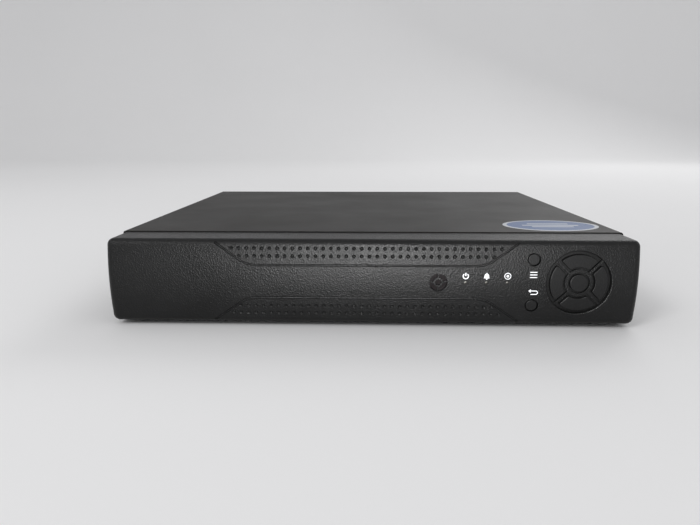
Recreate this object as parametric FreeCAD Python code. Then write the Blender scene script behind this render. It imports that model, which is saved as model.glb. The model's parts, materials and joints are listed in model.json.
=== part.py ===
"""A small desktop video recorder: steel case, curved plastic front with seven keys, rear connectors,
hard drive, main board and front board. Millimetres, +Z up, front towards -Y.
The origin is on the table, under the middle of the whole recorder."""

import FreeCAD, Part
import math
import os

from FreeCAD import Vector as V

# ---- driving dimensions -------------------------------------------------------------------------
CASE_W = 255.0            # width of the front bezel, the widest piece
CASE_D = 231.0            # from the front's foremost line to the back of the cover
JACK_REACH = 13.0         # how far the longest rear jack stands out behind the cover
BEZEL_H = 41.4
BEZEL_D = 22.0
BEZEL_WALL = 2.2
FACE_RISE = 2.3           # how far the curved front stands forward at mid height
CORNER_R = 3.4            # rounding of the bezel's four long edges
EDGE_R = 3.3              # rounding round its front
BEZEL_LIFT = 2.0          # bezel above the table
FOOT_H = 2.5
SHEET = 0.8               # steel sheet of the cover and the chassis
SEAM = 0.4                # open line between bezel and cover
COVER_PROUD = 0.5         # the cover's top above the bezel's
GAP = 0.05                # clearance between pieces that lie on each other
PANEL_BACKSET = 0.85      # rear panel in front of the cover's rear flange
KEY_TRAVEL = 0.5

# ---- places that follow from them ---------------------------------------------------------------
FRONT = -(CASE_D + JACK_REACH) / 2
REAR = FRONT + CASE_D
BEZEL_BACK = FRONT + BEZEL_D
BEZEL_TOP = BEZEL_LIFT + BEZEL_H
BEZEL_MID = BEZEL_LIFT + BEZEL_H / 2
FACE_MID = BEZEL_MID + 0.5            # the height that the front's pattern is laid out about
FACE_R = ((BEZEL_H / 2) ** 2 + FACE_RISE ** 2) / (2 * FACE_RISE)
COVER_W = CASE_W - 1.0
COVER_TOP = BEZEL_TOP + COVER_PROUD
COVER_FRONT = BEZEL_BACK + SEAM
COVER_BOTTOM = FOOT_H + SHEET
FLOOR = FOOT_H + SHEET                # upper face of the chassis floor
TRAY_W = COVER_W - 2 * SHEET - 4 * GAP
TRAY_FRONT = BEZEL_BACK + 0.1
PANEL = REAR - PANEL_BACKSET          # outer face of the rear panel
TRAY_TOP = COVER_TOP - SHEET - 0.6
FLANGE_H = 6.0                        # the cover's rear flange
COVER_SCREW_X = (-112.0, 0.0, 115.0)
STICKER_X = CASE_W / 2 - 30.2
STICKER_Y = COVER_FRONT + 22.6

# ---- front: keys, lamps and pattern -------------------------------------------------------------
PAD_X = 98.9                          # direction pad
PAD_R = 15.2
PAD_RIM = 0.5                         # rounding of the pad's rim
WEB_W = 1.0                           # diagonal bars between the arc keys
RING_IN = 5.2
RING_OUT = 6.6
PAD_SINK = 0.9                        # the bars and ring lie this far below the face
KEY_OUT = 13.6
KEY_IN = 7.6
KEY_SIDE = WEB_W / 2 + 0.95           # a key's straight side, from the diagonal
KEY_CORNER = 0.9
OK_R = 4.2
KEY_SINK = 0.15
FLANGE_OUT = 16.3                     # the arc keys' flanges close the gaps round them from behind
FLANGE_IN = 6.3
FLANGE_SIDE = 0.3
SMALL_KEY_X = 77.3
SMALL_KEY_Z = 11.2                    # menu above, escape below the middle
SMALL_HOLE_R = 3.2
SMALL_KEY_R = 2.65
LED_X = (45.4, 55.3, 65.2)
LED_HOLE_R = 0.7
IR_X = 32.5
IR_R = 4.35
IR_SINK = 0.5                         # the receiver's ring and spokes lie this far below the face
IR_STEP_R = 3.1                       # beyond this the spokes lie deeper
IR_STEP = 1.5
DOT_PITCH = 3.675
DOT_R = 0.95
DOT_TIP_R = 0.25
DOT_DEPTH = 0.75
DOT_WALL = 0.25                       # straight part of a dimple's wall, above its cone
DOT_ROWS = ((15.95, 36), (12.3, 34))  # height from the middle, dots in the row; mirrored below
BAND_X = -2.2                         # middle of the dotted bands
BAND_HALF = 57.0
BAND_Z = 8.0
BAND_SLOPE = 1.42                     # run of the slanting ends for each unit of height
BAND_BEND = 14.0
GROOVE_R = 0.55                       # the groove's round section, centred on the face
GROOVE_RISE = 20.0                    # its slanting ends run this far up or down, past the face's edge
GROOVE_END = 2.3                      # its ends lie on the rounding, this far behind the front

# ---- front board and switches -------------------------------------------------------------------
BOARD_Y = FRONT + 14.0                # front face of the front board
BOARD_T = 1.6
FRONT_BOARD = (25.0, 117.0, 6.3, 39.9)            # x and z extents
FRONT_BOARD_HOLES = ((30.5, 9.5), (30.5, 37.1), (113.6, 9.5), (113.6, 37.1))
SWITCH = 6.0
SWITCH_H = 3.5
PLUNGER_R = 1.75
PLUNGER_OUT = 1.5
PLUNGER_IN = 1.0                      # how far a plunger reaches into its switch at rest
PAD_SWITCH = 10.6                     # arc keys' switches, from the pad's centre
BEZEL_BOSSES = tuple((x, z) for x in (-116.0, 0.0, 121.6) for z in (12.0, 34.0))

# ---- main board and rear connectors -------------------------------------------------------------
MAIN_X0 = -72.0
MAIN_X1 = 112.0
MAIN_DEPTH = 98.0
STANDOFF_H = 5.0
MAIN_TOP = FLOOR + STANDOFF_H + BOARD_T
MAIN_BACK = PANEL - SHEET - 0.6
MAIN_FRONT = MAIN_BACK - MAIN_DEPTH
MAIN_HOLES = tuple(
    (x, y) for x in (MAIN_X0 + 5, MAIN_X1 - 5) for y in (MAIN_FRONT + 5, MAIN_BACK - 26)
)
BNC_X = (98.5, 83.0)
BNC_Z = (MAIN_TOP + 6.4, MAIN_TOP + 20.9)
BNC_R = 4.8
BNC_NECK_R = 4.55                     # behind the lugs
BNC_NOSE = 3.8                        # from the mouth back to the neck
BNC_LUG_R = 1.0
BNC_HOLE_R = 6.1
AUDIO_X = 63.0
AUDIO_Z = (MAIN_TOP + 6.9, MAIN_TOP + 20.4)
AUDIO_R = 4.15
MONITOR_X = 36.0
MONITOR_Z = MAIN_TOP + 6.3
MONITOR_SPACING = 24.99
DIGITAL_X = 7.5
DIGITAL_Z = MAIN_TOP + 3.0
NETWORK_X = -14.0
NETWORK_H = 13.4
USB_X = -38.0
USB_H = 15.8
POWER_X = -60.0
POWER_Z = MAIN_TOP + 6.5
MONITOR_SCREW_R = 1.3
DIGITAL_BACK = PANEL - 12.0
USB_CENTRES = (MAIN_TOP + 4.2, MAIN_TOP + 11.6)
HEAT_SINK = (12.0, 32.0)
SINK_SIZE = 36.0
CELL = (96.0, 16.0)

# ---- hard drive ---------------------------------------------------------------------------------
DRIVE = (147.0, 101.6, 26.1)
DRIVE_X0 = -119.0
DRIVE_Y0 = TRAY_FRONT + 5.0
EMBOSS_H = 2.0
DRIVE_Z0 = FLOOR + EMBOSS_H
DRIVE_WALL = 5.0
DISC_R = 47.5
SPINDLE = (DRIVE_X0 + 54.0, DRIVE_Y0 + DRIVE[1] / 2)
ARM_PIVOT = (DRIVE_X0 + 107.0, DRIVE_Y0 + 27.0)
DRIVE_SCREWS = tuple(
    (DRIVE_X0 + x, DRIVE_Y0 + DRIVE[1] / 2 + side * 47.6) for x in (61.3, 105.7) for side in (-1, 1)
)
DRIVE_SOCKET_Y = DRIVE_Y0 + 62.0
ARM_REST = -79.0                      # parked clear of the discs
FEET = tuple((x, y) for x in (-104.0, 104.0) for y in (FRONT + 40.0, REAR - 24.0))

# ---- leads inside the case ----------------------------------------------------------------------
LEAD_Z = DRIVE_Z0 + 3.2
LEAD_PORT_X = 74.0
LEAD_PORT_Z = MAIN_TOP + 4.0
RIBBON_X = 62.0
RIBBON_W = 12.7
RIBBON_T = 0.9
RIBBON_Z = 31.0
RIBBON_PORT_Y = MAIN_FRONT + 10.0


# ---- plain shapes -------------------------------------------------------------------------------
def box(x0, x1, y0, y1, z0, z1):
    return Part.makeBox(x1 - x0, y1 - y0, z1 - z0, V(x0, y0, z0))


def rod_y(x, z, r, y0, y1):
    return Part.makeCylinder(r, y1 - y0, V(x, y0, z), V(0, 1, 0))


def rod_z(x, y, r, z0, z1):
    return Part.makeCylinder(r, z1 - z0, V(x, y, z0), V(0, 0, 1))


def tube_y(x, z, r_out, r_in, y0, y1):
    return rod_y(x, z, r_out, y0, y1).cut(rod_y(x, z, r_in, y0, y1))


def joined(shapes):
    return shapes[0].fuse(shapes[1:]).removeSplitter()


def group(shapes):
    return Part.makeCompound(shapes)


def edges_along(shape, axis):
    """The straight edges that run along axis."""
    straight = [e for e in shape.Edges if hasattr(e.Curve, "Direction")]
    return [e for e in straight if abs(abs(e.Curve.Direction.dot(axis)) - 1) < 1e-6]


def soft_box(x0, x1, y0, y1, z0, z1, radius, axis):
    """A box with its four edges along axis rounded."""
    shape = box(x0, x1, y0, y1, z0, z1)
    return shape.makeFillet(radius, edges_along(shape, axis))


def slot_hole(cx, cz, length, width, y0, y1):
    """An upright round-ended slot that runs through along Y."""
    half = (length - width) / 2
    return joined([
        box(cx - width / 2, cx + width / 2, y0, y1, cz - half, cz + half),
        rod_y(cx, cz - half, width / 2, y0, y1),
        rod_y(cx, cz + half, width / 2, y0, y1),
    ])


def extruded_outline(points, y0, y1):
    """A closed outline of (x, z) points, pushed from y0 to y1."""
    wire = Part.makePolygon([V(x, y0, z) for x, z in points + points[:1]])
    return Part.Face(wire).extrude(V(0, y1 - y0, 0))


def pan_screw(base, axis, shank_r, shank_length, head_r, head_h):
    """A cross-head screw: its head stands on base along axis, its shank runs the other way."""
    head = Part.makeCylinder(head_r, head_h, base, axis)
    rim = [e for e in head.Edges if abs(e.CenterOfMass.sub(base).dot(axis) - head_h) < 1e-6
           and e.Length > head_r]
    head = head.makeFillet(min(head_h, head_r) * 0.55, rim)
    shank = Part.makeCylinder(shank_r, shank_length, base, axis.negative())
    screw = head.fuse(shank)
    side = V(0, 0, 1) if abs(axis.z) < 0.5 else V(1, 0, 0)
    other = axis.cross(side)
    length, width, depth = head_r * 1.15, head_r * 0.24, head_h * 0.6
    for along, across in ((side, other), (other, side)):
        corner = base + axis * (head_h - depth) - along * (length / 2) - across * (width / 2)
        outline = [corner, corner + along * length, corner + along * length + across * width,
                   corner + across * width, corner]
        screw = screw.cut(Part.Face(Part.makePolygon(outline)).extrude(axis * depth * 2))
    return screw


def rounded_route(points):
    """Straight runs joined by tangent arcs, each as large as its two runs allow. Prints the radii."""
    edges, radii = [], []
    start = points[0]
    for before, corner, after in zip(points, points[1:], points[2:]):
        run_in, run_out = corner - before, after - corner
        turn = run_in.getAngle(run_out)
        reach = 0.45 * min(run_in.Length, run_out.Length)
        radii.append(reach / math.tan(turn / 2))
        into, out = V(run_in).normalize(), V(run_out).normalize()
        first, last = corner - into * reach, corner + out * reach
        inward = (out - into).normalize()
        middle_gap = radii[-1] / math.cos(turn / 2) - radii[-1]
        edges.append(Part.LineSegment(start, first).toShape())
        edges.append(Part.Arc(first, corner + inward * middle_gap, last).toShape())
        start = last
    edges.append(Part.LineSegment(start, points[-1]).toShape())
    print("bend radii", [round(r, 1) for r in radii])
    return Part.Wire(edges)


# ---- front bezel --------------------------------------------------------------------------------
def face_y(z):
    """How far back the curved front lies at height z."""
    return FRONT + FACE_R - math.sqrt(FACE_R ** 2 - (z - BEZEL_MID) ** 2)


def curved_block(inset, back):
    """The bezel's outer form, shrunk by inset on every side but the back."""
    z0, z1 = BEZEL_LIFT + inset, BEZEL_TOP - inset
    x0 = -CASE_W / 2 + inset
    radius = FACE_R - inset
    edge_y = FRONT + FACE_R - math.sqrt(radius ** 2 - (z1 - BEZEL_MID) ** 2)
    corners = [V(x0, back, z1), V(x0, edge_y, z1), V(x0, edge_y, z0), V(x0, back, z0)]
    front = Part.Arc(corners[1], V(x0, FRONT + inset, BEZEL_MID), corners[2]).toShape()
    sides = [Part.LineSegment(corners[0], corners[1]).toShape(), front,
             Part.LineSegment(corners[2], corners[3]).toShape(),
             Part.LineSegment(corners[3], corners[0]).toShape()]
    return Part.Face(Part.Wire(sides)).extrude(V(CASE_W - 2 * inset, 0, 0))


def bezel_outside():
    block = curved_block(0, BEZEL_BACK)
    block = block.makeFillet(CORNER_R, edges_along(block, V(0, 1, 0)))
    return block.makeFillet(EDGE_R, [e for e in block.Edges if e.BoundBox.YMax < FRONT + 5.0])


def groove(outside, sign):
    """The round-bottomed groove round one dotted band, along the curve of the face."""
    z0 = FACE_MID + sign * BAND_Z
    low, high = BAND_HALF, BAND_HALF + BAND_SLOPE * GROOVE_RISE
    corners = [V(BAND_X - high, 0, z0 + sign * GROOVE_RISE), V(BAND_X - low, 0, z0),
               V(BAND_X + low, 0, z0), V(BAND_X + high, 0, z0 + sign * GROOVE_RISE)]
    turn = math.atan(1 / BAND_SLOPE)
    reach = BAND_BEND * math.tan(turn / 2)
    edges, start = [], corners[0]
    for before, corner, after in zip(corners, corners[1:], corners[2:]):
        into, out = (corner - before).normalize(), (after - corner).normalize()
        first, last = corner - into * reach, corner + out * reach
        inward = (out - into).normalize()
        middle = corner + inward * (BAND_BEND / math.cos(turn / 2) - BAND_BEND)
        edges += [Part.LineSegment(start, first).toShape(), Part.Arc(first, middle, last).toShape()]
        start = last
    edges += [Part.LineSegment(start, corners[3]).toShape(),
              Part.LineSegment(corners[3], corners[0]).toShape()]
    outline = Part.Face(Part.Wire(edges)).translated(V(0, FRONT - 1, 0))
    cutter = outline.extrude(V(0, 1 + GROOVE_END, 0))
    on_face = [e for e in outside.section(cutter).Edges if e.BoundBox.YMin < FRONT + GROOVE_END - 0.05]
    path = Part.Wire(Part.sortEdges(on_face)[0])
    first = path.OrderedEdges[0]
    along = first.tangentAt(first.FirstParameter)
    section = Part.makeCircle(GROOVE_R, path.OrderedVertexes[0].Point, along)
    return path.makePipeShell([Part.Wire(section)], True, True)


def dots():
    """The rows of small dimples with conical floors, following the curve of the face."""
    found = []
    for height, count in DOT_ROWS:
        for sign in (1, -1):
            z = FACE_MID + sign * height
            y = face_y(z) - 1
            for i in range(count):
                x = BAND_X + (i - (count - 1) / 2) * DOT_PITCH
                wall = rod_y(x, z, DOT_R, y, y + 1 + DOT_WALL)
                tip = Part.makeCone(DOT_R, DOT_TIP_R, DOT_DEPTH - DOT_WALL,
                                    V(x, y + 1 + DOT_WALL, z), V(0, 1, 0))
                found.append(wall.fuse(tip))
    return group(found)


def quarter(direction, r_in, r_out, side, y0, y1, corner=0):
    """One arc-shaped quarter of the pad, facing direction (0 right, 1 up, 2 left, 3 down)."""
    ring = tube_y(0, 0, r_out, r_in, y0, y1)
    reach = 2 * r_out
    tip = side * math.sqrt(2)
    wedge = extruded_outline([(tip, 0), (tip + reach, reach), (tip + reach, -reach)], y0, y1)
    piece = ring.common(wedge)
    if corner:
        piece = piece.makeFillet(corner, edges_along(piece, V(0, 1, 0)))
    piece.rotate(V(0, 0, 0), V(0, 1, 0), -90 * direction)
    return piece.translated(V(PAD_X, 0, FACE_MID))


def ir_openings():
    """The open quarters and centre of the receiver's window, between its ring and four spokes."""
    spoke, ring_in, ring_out = 0.62, 1.5, 2.2
    y0, y1 = FRONT - 1, FRONT + BEZEL_WALL + 1
    around = tube_y(IR_X, FACE_MID, IR_R, ring_out, y0, y1)
    across = box(IR_X - IR_R, IR_X + IR_R, y0, y1, FACE_MID - spoke / 2, FACE_MID + spoke / 2)
    upright = box(IR_X - spoke / 2, IR_X + spoke / 2, y0, y1, FACE_MID - IR_R, FACE_MID + IR_R)
    return [around.cut([across, upright]), rod_y(IR_X, FACE_MID, ring_in, y0, y1)]


def sunk_disc(outside, x, r_out, r_in, depth):
    """A round layer of the bezel's face, of that depth, with a round core of r_in left out."""
    skin = outside.cut(outside.translated(V(0, depth, 0)))
    disc = rod_y(x, FACE_MID, r_out, FRONT - 1, FRONT + 5)
    if r_in:
        disc = disc.cut(rod_y(x, FACE_MID, r_in, FRONT - 2, FRONT + 6))
    return disc.common(skin)


def front_bezel():
    outside = bezel_outside()
    cavity = curved_block(BEZEL_WALL, BEZEL_BACK + 1)
    shell = outside.cut(cavity)
    bosses = []
    for x, z in BEZEL_BOSSES:
        boss = rod_y(x, z, 3.2, FRONT, BEZEL_BACK)
        bosses.append(boss.common(cavity))
    for x, z in FRONT_BOARD_HOLES:
        bosses.append(rod_y(x, z, 2.5, FRONT, BOARD_Y).common(cavity))
    seat = tube_y(IR_X, FACE_MID, 7.0, 5.7, FRONT, FRONT + 4.2).common(cavity)
    shell = joined([shell, seat] + bosses)
    pilots = [rod_y(x, z, 1.15, BEZEL_BACK - 9, BEZEL_BACK + 1) for x, z in BEZEL_BOSSES]
    pilots += [rod_y(x, z, 0.95, BOARD_Y - 7, BOARD_Y + 1) for x, z in FRONT_BOARD_HOLES]
    pad_sunk = sunk_disc(outside, PAD_X, PAD_R, 0, PAD_SINK)
    shell = shell.cut(pad_sunk)
    rim = [e for e in shell.Edges if abs(e.BoundBox.XLength - 2 * PAD_R) < 1
           and e.BoundBox.YMin < FRONT + PAD_SINK / 2]
    shell = shell.makeFillet(PAD_RIM, rim)
    ir_sunk = [sunk_disc(outside, IR_X, IR_R, 0, IR_SINK),
               sunk_disc(outside, IR_X, IR_R, IR_STEP_R, IR_STEP)]
    y0, y1 = FRONT - 1, FRONT + 6
    windows = [quarter(d, RING_OUT, PAD_R, WEB_W / 2, y0, y1) for d in range(4)]
    windows.append(rod_y(PAD_X, FACE_MID, RING_IN, y0, y1))
    for sign in (1, -1):
        windows.append(rod_y(SMALL_KEY_X, FACE_MID + sign * SMALL_KEY_Z, SMALL_HOLE_R, y0, y1))
    windows += [rod_y(x, FACE_MID, LED_HOLE_R, y0, y1) for x in LED_X]
    grooves = [groove(outside, sign) for sign in (1, -1)]
    shell = shell.cut(pilots + grooves + ir_sunk + windows + ir_openings())
    return shell.cut(dots())


# ---- keys and their switches --------------------------------------------------------------------
def key_places():
    """Each key's name with its kind and its switch's place."""
    places = {}
    for direction, name in enumerate(("right", "up", "left", "down")):
        angle = math.radians(90 * direction)
        places[name] = (direction, PAD_X + PAD_SWITCH * math.cos(angle),
                        FACE_MID + PAD_SWITCH * math.sin(angle))
    places["ok"] = (None, PAD_X, FACE_MID)
    places["menu"] = (None, SMALL_KEY_X, FACE_MID + SMALL_KEY_Z)
    places["esc"] = (None, SMALL_KEY_X, FACE_MID - SMALL_KEY_Z)
    return places


def key(name):
    """A key: a cap through the bezel, a flange that keeps it in, and a stem onto its switch."""
    direction, x, z = key_places()[name]
    y_cap, y_flange = FRONT + 3.4, FRONT + 5.4
    y_stem = BOARD_Y - SWITCH_H - PLUNGER_OUT
    top = curved_block(0, BEZEL_BACK).translated(V(0, KEY_SINK, 0))
    behind = curved_block(BEZEL_WALL, BEZEL_BACK).translated(V(0, 0.15, 0))
    if direction is None:
        cap_r = OK_R if name == "ok" else SMALL_KEY_R
        flange_r = 6.0 if name == "ok" else 4.2
        cap = rod_y(x, z, cap_r, FRONT - 1, y_flange)
        flange = rod_y(x, z, flange_r, FRONT, y_flange)
    else:
        cap = quarter(direction, KEY_IN, KEY_OUT, KEY_SIDE, FRONT - 1, y_flange, KEY_CORNER)
        flange = quarter(direction, FLANGE_IN, FLANGE_OUT, FLANGE_SIDE, FRONT, y_flange)
    cap = cap.common(top)
    rim = [e for e in cap.Edges if e.BoundBox.YMax < y_cap]
    cap = cap.makeFillet(0.3, rim)
    stem = rod_y(x, z, 1.5, y_flange - 0.5, y_stem)
    return joined([cap, flange.common(behind), stem])


def plunger(name):
    """The moving button of a key's switch."""
    _, x, z = key_places()[name]
    y_body = BOARD_Y - SWITCH_H
    return rod_y(x, z, PLUNGER_R, y_body - PLUNGER_OUT, y_body + PLUNGER_IN)


def tact_switches():
    bodies = []
    for _, x, z in key_places().values():
        half = SWITCH / 2
        body = soft_box(x - half, x + half, BOARD_Y - SWITCH_H, BOARD_Y, z - half, z + half,
                        0.4, V(0, 1, 0))
        well_y = BOARD_Y - SWITCH_H + PLUNGER_IN + KEY_TRAVEL + 0.2
        well = rod_y(x, z, PLUNGER_R + 0.1, BOARD_Y - SWITCH_H - 1, well_y)
        bodies.append(body.cut(well))
    return group(bodies)


# ---- front board --------------------------------------------------------------------------------
def front_board():
    """The board behind the bezel that carries the switches, lamps and receiver."""
    x0, x1, z0, z1 = FRONT_BOARD
    board = box(x0, x1, BOARD_Y, BOARD_Y + BOARD_T, z0, z1)
    holes = [rod_y(x, z, 1.3, BOARD_Y - 1, BOARD_Y + 3) for x, z in FRONT_BOARD_HOLES]
    return board.cut(holes)


def indicator_lamps():
    """Three 3 mm lamps on two legs each, their domes behind the bezel's small holes."""
    tip, base = FRONT + BEZEL_WALL + 0.4, FRONT + 8.0
    lamps = []
    for x in LED_X:
        body = rod_y(x, FACE_MID, 1.5, tip + 1.5, base)
        dome = Part.makeSphere(1.5, V(x, tip + 1.5, FACE_MID))
        collar = rod_y(x, FACE_MID, 1.9, base - 1.0, base)
        legs = [rod_y(x + s * 1.27, FACE_MID, 0.25, base - 0.5, BOARD_Y) for s in (-1, 1)]
        lamps.append(joined([body, dome, collar] + legs))
    return group(lamps)


def ir_window():
    """The dark infrared filter that sits in the bezel's round seat."""
    return rod_y(IR_X, FACE_MID, 5.6, FRONT + BEZEL_WALL + 0.35, FRONT + BEZEL_WALL + 1.75)


def ir_receiver():
    y_face = BOARD_Y - 5.4
    body = soft_box(IR_X - 3, IR_X + 3, y_face, y_face + 4.4, FACE_MID - 3.5, FACE_MID + 3.5,
                    0.4, V(0, 1, 0))
    lens = Part.makeSphere(2.6, V(IR_X, y_face + 0.6, FACE_MID))
    legs = [rod_y(IR_X + s * 2.54, FACE_MID - 2.0, 0.3, y_face + 4, BOARD_Y) for s in (-1, 0, 1)]
    return joined([body, lens] + legs)


def self_tapping_screws():
    """Bezel to chassis from inside the case, and front board to bezel."""
    screws = []
    for x, z in BEZEL_BOSSES:
        seat = V(x, TRAY_FRONT + SHEET, z)
        screws.append(pan_screw(seat, V(0, 1, 0), 1.1, 8.0, 2.6, 1.9))
    for x, z in FRONT_BOARD_HOLES:
        seat = V(x, BOARD_Y + BOARD_T, z)
        screws.append(pan_screw(seat, V(0, 1, 0), 0.9, 6.5, 2.0, 1.4))
    return group(screws)


# ---- sheet metal --------------------------------------------------------------------------------
def vent_rows(x_from, count, pitch, rows, length, width, z0, z1):
    """Slots through the chassis floor, running front to back."""
    cuts = []
    for y in rows:
        for i in range(count):
            x = x_from + i * pitch
            half = (length - width) / 2
            cuts += [box(x - width / 2, x + width / 2, y - half, y + half, z0, z1),
                     rod_z(x, y - half, width / 2, z0, z1), rod_z(x, y + half, width / 2, z0, z1)]
    return cuts


def rear_cutouts():
    """Openings in the rear panel, a little larger than each connector."""
    y0, y1 = PANEL - SHEET - 1, PANEL + 1
    play = 0.3
    cuts = [rod_y(x, z, BNC_HOLE_R + play, y0, y1) for x in BNC_X for z in BNC_Z]
    cuts += [rod_y(AUDIO_X, z, AUDIO_R + play, y0, y1) for z in AUDIO_Z]
    cuts.append(d_shape(MONITOR_X, MONITOR_Z, 9.2 + play, 4.6 + play, y0, y1))
    cuts += [rod_y(MONITOR_X + s * MONITOR_SPACING / 2, MONITOR_Z, 1.7, y0, y1) for s in (-1, 1)]
    cuts.append(box(DIGITAL_X - 7.8, DIGITAL_X + 7.8, y0, y1, DIGITAL_Z - 3.1, DIGITAL_Z + 3.1))
    cuts.append(box(NETWORK_X - 8.3, NETWORK_X + 8.3, y0, y1, MAIN_TOP - 0.3, MAIN_TOP + NETWORK_H + play))
    cuts.append(box(USB_X - 7.6, USB_X + 7.6, y0, y1, MAIN_TOP - 0.3, MAIN_TOP + USB_H + play))
    cuts.append(rod_y(POWER_X, POWER_Z, 4.4, y0, y1))
    for i in range(12):
        cuts.append(slot_hole(-82.0 - i * 3.6, BEZEL_MID, 20.0, 1.8, y0, y1))
    return cuts


def bottom_chassis():
    """Floor, front wall, rear panel and low side flanges, bent from one sheet."""
    half = TRAY_W / 2
    outer = box(-half, half, TRAY_FRONT, PANEL, FOOT_H, TRAY_TOP)
    low = [e for e in outer.Edges if e.BoundBox.ZMax < FOOT_H + 1e-3]
    outer = outer.makeFillet(1.3, low)
    inner = box(-half + SHEET, half - SHEET, TRAY_FRONT + SHEET, PANEL - SHEET, FLOOR, TRAY_TOP + 1)
    low = [e for e in inner.Edges if e.BoundBox.ZMax < FLOOR + 1e-3]
    tray = outer.cut(inner.makeFillet(0.5, low))
    side_cut = box(-half - 1, half + 1, TRAY_FRONT + SHEET + 2, PANEL - SHEET - 2,
                   FLOOR + 12.0, TRAY_TOP + 1)
    tray = tray.cut(side_cut)
    cuts = rear_cutouts()
    cuts += [rod_y(x, z, 1.6, TRAY_FRONT - 1, TRAY_FRONT + 2) for x, z in BEZEL_BOSSES]
    cuts.append(soft_box(22.0, 114.0, TRAY_FRONT - 1, TRAY_FRONT + 2, 9.0, 38.0, 3.0, V(0, 1, 0)))
    cuts.append(soft_box(-108.0, -8.0, TRAY_FRONT - 1, TRAY_FRONT + 2, 12.0, 36.0, 3.0, V(0, 1, 0)))
    cuts += [rod_y(x, COVER_TOP - 3.0, 1.45, PANEL - 2, PANEL + 1) for x in COVER_SCREW_X]
    cuts += vent_rows(44.0, 14, 5.0, (TRAY_FRONT + 32.0, TRAY_FRONT + 62.0), 22.0, 2.2, 0, FLOOR + 1)
    cuts += vent_rows(-60.0, 20, 5.0, (MAIN_FRONT + 40.0,), 24.0, 2.2, 0, FLOOR + 1)
    cuts += [rod_z(x, y, 1.6, 0, FLOOR + 1) for x, y in FEET]
    cuts += [rod_z(x, y, 7.2, 0, FLOOR + 1) for x, y in DRIVE_SCREWS]
    cuts += [rod_z(x, y, 1.5, 0, FLOOR + 1) for x, y in MAIN_HOLES]
    tray = tray.cut(cuts)
    cups = []
    for x, y in DRIVE_SCREWS:
        cup = rod_z(x, y, 8.0, FOOT_H, DRIVE_Z0).cut(rod_z(x, y, 7.2, FOOT_H, DRIVE_Z0 - SHEET))
        cups.append(cup.cut(rod_z(x, y, 1.8, FOOT_H, DRIVE_Z0 + 1)))
    return joined([tray] + cups)


def side_vents(x0, x1):
    """A row of upright slots through one side of the cover."""
    cuts = []
    width, length, pitch, count = 2.4, 18.0, 6.0, 16
    for i in range(count):
        y = 8.0 + (i - (count - 1) / 2) * pitch
        half = (length - width) / 2
        cuts.append(box(x0, x1, y - width / 2, y + width / 2, 25.0 - half, 25.0 + half))
        for z in (25.0 - half, 25.0 + half):
            cuts.append(Part.makeCylinder(width / 2, x1 - x0, V(x0, y, z), V(1, 0, 0)))
    return cuts


def top_cover():
    """Top and two sides from one sheet, with a short flange over the rear panel."""
    half = COVER_W / 2
    outer = box(-half, half, COVER_FRONT, REAR, COVER_BOTTOM, COVER_TOP)
    upper = [e for e in outer.Edges
             if e.BoundBox.ZMin > COVER_TOP - 1e-3 and e.BoundBox.YMax > COVER_FRONT + 1]
    outer = outer.makeFillet(1.3, upper)
    inner = box(-half + SHEET, half - SHEET, COVER_FRONT - 1, REAR - SHEET,
                COVER_BOTTOM - 1, COVER_TOP - SHEET)
    upper = [e for e in inner.Edges
             if e.BoundBox.ZMin > COVER_TOP - SHEET - 1e-3 and e.BoundBox.YMax > COVER_FRONT + 1]
    cover = outer.cut(inner.makeFillet(0.5, upper))
    below_flange = box(-half - 1, half + 1, REAR - SHEET - GAP, REAR + 1,
                       COVER_BOTTOM - 1, COVER_TOP - FLANGE_H)
    cuts = [below_flange] + side_vents(-half - 1, -half + 2) + side_vents(half - 2, half + 1)
    cuts += [rod_y(x, COVER_TOP - 3.0, 1.7, REAR - 2, REAR + 1) for x in COVER_SCREW_X]
    return cover.cut(cuts)


def cover_screws():
    seats = [V(x, REAR, COVER_TOP - 3.0) for x in COVER_SCREW_X]
    return group([pan_screw(seat, V(0, 1, 0), 1.4, 5.0, 2.6, 1.8) for seat in seats])


def rubber_feet():
    feet = []
    for x, y in FEET:
        foot = Part.makeCone(7.5, 8.2, FOOT_H, V(x, y, 0), V(0, 0, 1))
        rim = [e for e in foot.Edges if e.BoundBox.ZMax < 1e-3]
        foot = foot.makeFillet(0.5, rim)
        feet.append(foot.cut([rod_z(x, y, 3.6, -1, 1.3), rod_z(x, y, 1.6, -1, FOOT_H + 1)]))
    return group(feet)


def foot_screws():
    """Self-cutting screws that hold the feet; their heads lie up inside the rubber."""
    return group([pan_screw(V(x, y, 1.3), V(0, 0, -1), 1.4, 3.4, 2.8, 1.0) for x, y in FEET])


def cover_sticker():
    """An oval printed label on the cover's front right corner."""
    half_x, half_y, thick = 25.6, 18.6, 0.12
    ellipse = Part.Ellipse(V(0, 0, 0), half_x, half_y)
    face = Part.Face(Part.Wire(ellipse.toShape()))
    return face.extrude(V(0, 0, thick)).translated(V(STICKER_X, STICKER_Y, COVER_TOP))


# ---- main board ---------------------------------------------------------------------------------
def main_board():
    board = box(MAIN_X0, MAIN_X1, MAIN_FRONT, MAIN_BACK, MAIN_TOP - BOARD_T, MAIN_TOP)
    return board.cut([rod_z(x, y, 1.6, 0, MAIN_TOP + 1) for x, y in MAIN_HOLES])


def board_standoffs():
    """Hexagonal posts riveted into the floor."""
    posts = []
    for x, y in MAIN_HOLES:
        ring = [V(x + 3.0 * math.cos(math.radians(60 * k)), y + 3.0 * math.sin(math.radians(60 * k)),
                  FLOOR) for k in range(7)]
        post = Part.Face(Part.makePolygon(ring)).extrude(V(0, 0, STANDOFF_H))
        rivet = rod_z(x, y, 1.5, FOOT_H, FLOOR)
        posts.append(post.fuse(rivet).cut(rod_z(x, y, 1.35, FLOOR + 0.5, MAIN_TOP)))
    return group(posts)


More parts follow.
